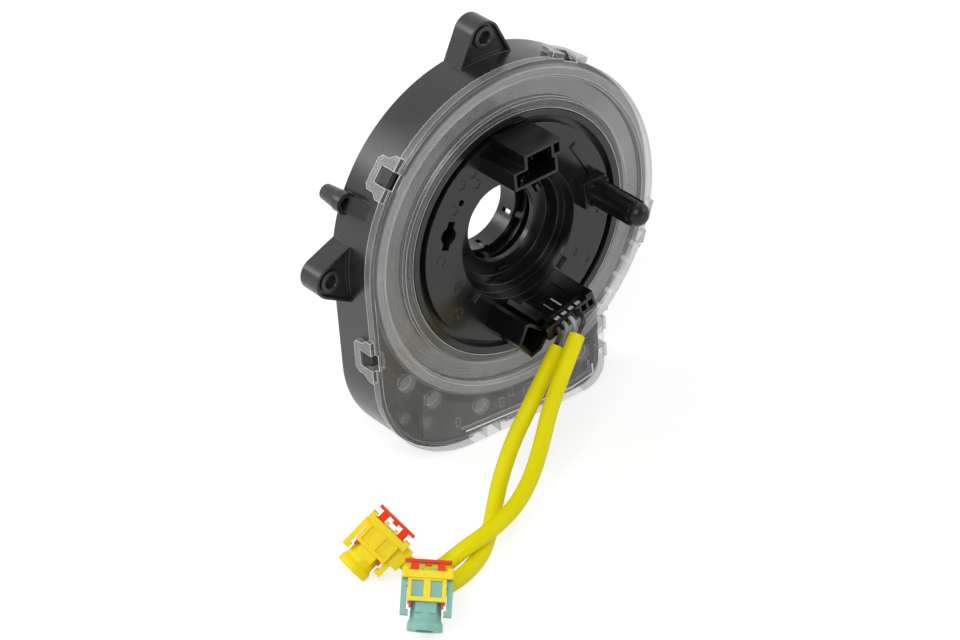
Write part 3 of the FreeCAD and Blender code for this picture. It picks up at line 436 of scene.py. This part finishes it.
def chord_ribs(tree, gain):
    """The gain on the short ribs along the cover's straight side."""
    turn = math.radians(CHORD_ANGLE)
    out = measured(tree, math.cos(turn), math.sin(turn))
    place = measured(tree, -math.sin(turn), math.cos(turn))
    fold = add(tree, "Math", operation="PINGPONG")
    fold.inputs[1].default_value = RIB_PITCH / 2
    tree.links.new(place, fold.inputs[0])
    rib = spread(tree, fold.outputs[0], gain, 0.0, RIB_HALF - LINE_SOFT, RIB_HALF + LINE_SOFT)
    band = combined(tree, rib, window(tree, out, *CHORD_BAND), "MULTIPLY")
    return combined(tree, band, window(tree, place, -CHORD_HALF, CHORD_HALF), "MULTIPLY")


# Materials

def uneven(tree, scale, rough, reach):
    """A roughness that noise moves by the given reach."""
    less, more = reach
    return spread(tree, noise(tree, scale), rough + less, rough + more)


def plastic(name, color, rough=0.4, edge=0.0002, grain=900.0, grain_depth=0.00001, vary=0.12, specular=0.5):
    """Moulded plastic: slight flow marks in colour and gloss, a fine grain and softened edges."""
    material, tree = new_material(name)
    shader = tree.nodes["Principled BSDF"]
    shader.inputs["Specular IOR Level"].default_value = specular
    dark = [c * (1 - vary) for c in color]
    light = [min(1.0, c * (1 + vary)) for c in color]
    flow = spread(tree, noise(tree, FLOW_SCALE, detail=3.0), 0, 1)
    tree.links.new(tint(tree, flow, dark, light), shader.inputs["Base Color"])
    tree.links.new(uneven(tree, GLOSS_SCALE, rough, PLASTIC_GLOSS), shader.inputs["Roughness"])
    bump = add(tree, "Bump")
    bump.inputs["Strength"].default_value = GRAIN_STRENGTH
    bump.inputs["Distance"].default_value = grain_depth
    tree.links.new(noise(tree, grain, detail=2.0), bump.inputs["Height"])
    if edge:
        tree.links.new(soft_edges(tree, edge), bump.inputs["Normal"])
    tree.links.new(bump.outputs["Normal"], shader.inputs["Normal"])
    return material


def metal(name, color, rough=0.3):
    """Bare contact metal with slight marks in tone and gloss."""
    material, tree = new_material(name)
    shader = tree.nodes["Principled BSDF"]
    shader.inputs["Metallic"].default_value = 1.0
    tone = tint(tree, noise(tree, METAL_TONE_SCALE), darker(color), color)
    tree.links.new(tone, shader.inputs["Base Color"])
    tree.links.new(uneven(tree, METAL_GLOSS_SCALE, rough, METAL_GLOSS), shader.inputs["Roughness"])
    return material


def cover_cloud(tree):
    """Milkiness of the cover: faint on its faces, stronger on its ring, its ribs and the frosted spots."""
    return summed(tree, [
        spread(tree, noise(tree, CLOUD_SCALE, detail=2.0), *FACE_CLOUD),
        spots(tree, FROSTED_SPOTS, SPOT_R, SPOT_CLOUD),
        spots(tree, SMALL_SPOTS, SMALL_SPOT_R, SMALL_SPOT_CLOUD),
        ring_band(tree, FROSTED_RING, RING_CLOUD),
        chord_ribs(tree, CHORD_RIB_CLOUD),
        strokes(tree, LOBE_RIB, LOBE_RIB_HALF, LOBE_RIB_CLOUD),
        side_faces(tree, SIDE_CLOUD),
    ])


def sheet_cloud(tree):
    """Milkiness of the slip sheet, which grows from left to right."""
    cloud = spread(tree, noise(tree, CLOUD_SCALE, detail=2.0), *SHEET_CLOUD)
    gain = spread(tree, measured(tree, 1.0, 0.0), 0.0, SHEET_GAIN, -SHEET_REACH, SHEET_REACH)
    return combined(tree, cloud, gain)


def glazed(tree, surface, rough):
    """The surface under a gloss that grows at a slant, on its outer side alone."""
    fresnel = add(tree, "Fresnel")
    fresnel.inputs["IOR"].default_value = CLEAR_IOR
    share = combined(tree, fresnel.outputs[0], outer_faces(tree, 1.0, 0.0), "MULTIPLY")
    gloss = add(tree, "BsdfGlossy")
    gloss.inputs["Roughness"].default_value = rough
    return mixed(tree, share, surface, gloss)


def milky(tree, color):
    """The cloudy share of clear plastic."""
    milk = tree.nodes["Principled BSDF"]
    milk.inputs["Roughness"].default_value = MILK_ROUGH
    tree.links.new(tint(tree, noise(tree, MILK_SCALE), darker(color), color), milk.inputs["Base Color"])
    return milk


def slant(tree):
    """0 on a face seen square on, up to 1 on a face seen edge on."""
    weight = add(tree, "LayerWeight")
    weight.inputs["Blend"].default_value = SLANT_BLEND
    return weight.outputs["Facing"]


def clear_plastic(name, cloud, color, rough=0.22, rim=0.3, edge=0.0, edge_highlight_gain=0.0):
    """Clear plastic: see-through faces with some milkiness, a painted sheen where a face is seen at a
    slant, a painted highlight that makes edges paler, greyer through its walls.
    """
    material, tree = new_material(name)
    facing = slant(tree)
    slanted = spread(tree, facing, 0.0, 1.0, *WALL_SLANT)
    walls = [side_faces(tree, 1.0), slanted, ring_band(tree, THICK_RIM, 1.0)]
    # The rim share is a painted sheen: white milk that grows where a face is seen at a slant
    clouds = [cloud(tree), spread(tree, facing, 0.0, rim, *SHEEN_SLANT)]
    if edge:
        # Painted edge highlight: edges get paler with milk and greyer where seen through, standing in for
        # light caught along them
        painted_edge_highlight = edge_highlight_mask(tree, edge, edge_highlight_gain)
        walls.append(painted_edge_highlight)
        clouds.append(painted_edge_highlight)
    clear = add(tree, "BsdfTransparent")
    tree.links.new(tint(tree, summed(tree, walls), CLEAR_TONE, WALL_TONE), clear.inputs["Color"])
    amount = combined(tree, summed(tree, clouds), outer_faces(tree, 1.0, INNER_SHARE), "MULTIPLY")
    surface = glazed(tree, mixed(tree, amount, clear, milky(tree, color)), rough)
    tree.links.new(surface.outputs[0], tree.nodes["Material Output"].inputs["Surface"])
    return material


# Dressing of the solids

def dress(material, *names):
    for name in names:
        mesh = nodes[name].data
        mesh.materials.clear()
        mesh.materials.append(material)


def dress_stator():
    dress(plastic("housing_grey", (0.020, 0.020, 0.021), rough=0.24, edge=0.0004), "rear_housing")
    # The carrier is a little darker than the housing: painted shade, so it matches the shaded chamber floor
    # deeper in the housing
    dress(plastic("carrier_painted_shade", (0.018, 0.018, 0.0185), rough=0.5), "terminal_carrier")
    dress(plastic("cable_film", (0.08, 0.08, 0.081), rough=0.34, edge=0.0), "flat_cable")


def dress_cover():
    cover = clear_plastic("cover_clear", cover_cloud, (0.90, 0.90, 0.90), edge=0.0004, edge_highlight_gain=1.5)
    dress(cover, "front_cover")
    dress(clear_plastic("sheet_milky", sheet_cloud, (0.85, 0.85, 0.85), rough=0.35, rim=0.2), "slip_sheet")


def dress_rotor():
    rotor = plastic("rotor_grey", (0.008, 0.008, 0.0084), rough=0.20, edge=0.0005, grain_depth=0.000006)
    dress(rotor, "rotor_plate", "rear_sleeve")
    peg = plastic("peg_black", (0.005, 0.005, 0.0053), rough=0.32, edge=0.0006, grain=2200.0,
                  grain_depth=0.00002, specular=0.35)
    dress(peg, "drive_peg")


def dress_connectors():
    black = plastic("black_plastic", (0.004, 0.004, 0.0043), rough=0.20, edge=0.0004, specular=0.45)
    dress(black, "switch_connector", "horn_socket", "lead_socket", "lead_connector", "cable_end_inner",
          "cable_end_outer", "stator_connector")
    dress(metal("tin", (0.74, 0.73, 0.70)), "stator_pins", "switch_pins", "horn_pins", "teal_plug_contacts",
          "yellow_plug_contacts")
    dress(plastic("tin_pale", (0.50, 0.51, 0.46), rough=0.5, edge=0.0), "lead_contacts")


def dress_wires():
    """Wire sheaths, each with its colour and roughness."""
    sheaths = {
        "wire_brown": ((0.045, 0.014, 0.009), 0.35),
        "wire_grey": ((0.21, 0.22, 0.22), 0.35),
        "wire_white": ((0.38, 0.39, 0.40), 0.35),
        "wire_black": ((0.018, 0.018, 0.021), 0.3),
    }
    for name, (color, rough) in sheaths.items():
        dress(plastic(name, color, rough=rough, edge=0.0, grain=WIRE_GRAIN), name)


def dress_plugs():
    teal = plastic("plug_teal", (0.25, 0.52, 0.45), rough=0.4, vary=0.06, specular=0.25)
    dress(teal, "teal_plug_body")
    yellow = plastic("plug_yellow", (0.93, 0.72, 0.0), rough=0.38, vary=0.05, specular=0.25)
    dress(yellow, "teal_plug_frame", "yellow_plug_body", "yellow_plug_frame")
    red = plastic("lock_red", (0.90, 0.050, 0.001), rough=0.4, vary=0.05, specular=0.15)
    dress(red, "teal_plug_lock", "yellow_plug_lock")


def part_sheet():
    """Leave a hair of air between the slip sheet and the cover that it lies under."""
    thin = nodes["slip_sheet"].modifiers.new("air", "DISPLACE")
    thin.mid_level = 0.0
    thin.strength = -SHEET_AIR


# Sleeves

def sleeve_curve(name, route, material):
    curve = bpy.data.curves.new(name, "CURVE")
    curve.dimensions = "3D"
    spline = curve.splines.new("NURBS")
    spline.points.add(len(route) - 1)
    for point, place in zip(spline.points, route):
        point.co = (*metres(*place), 1)
    spline.order_u = 3
    spline.use_endpoint_u = True
    spline.resolution_u = 12
    curve.bevel_depth = SLEEVE_R
    curve.bevel_resolution = 8
    curve.use_fill_caps = False
    curve.materials.append(material)
    return curve


def make_sleeve(color, route, material):
    """A sleeve that leads to the plug of the given colour and rides on the rotor with it."""
    sleeve = place_object("sleeve_to_" + color, sleeve_curve("sleeve_to_" + color, route, material))
    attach(sleeve, "rotor")
    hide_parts("lead_sleeve_" + color)


def make_sleeves():
    material = plastic("sleeve_yellow", (0.80, 0.72, 0.0), rough=0.45, edge=0.0, grain=1600.0, vary=0.05,
                       specular=0.15)
    make_sleeve("teal", ROUTE_TEAL, material)
    make_sleeve("yellow", ROUTE_YELLOW, material)


bpy.context.scene.view_settings.view_transform = "Standard"
make_camera()
make_sleeves()
make_world()
for lamp_values in LAMPS:
    make_lamp(*lamp_values)
make_floor()
dress_stator()
dress_cover()
dress_rotor()
dress_connectors()
dress_wires()
dress_plugs()
part_sheet()
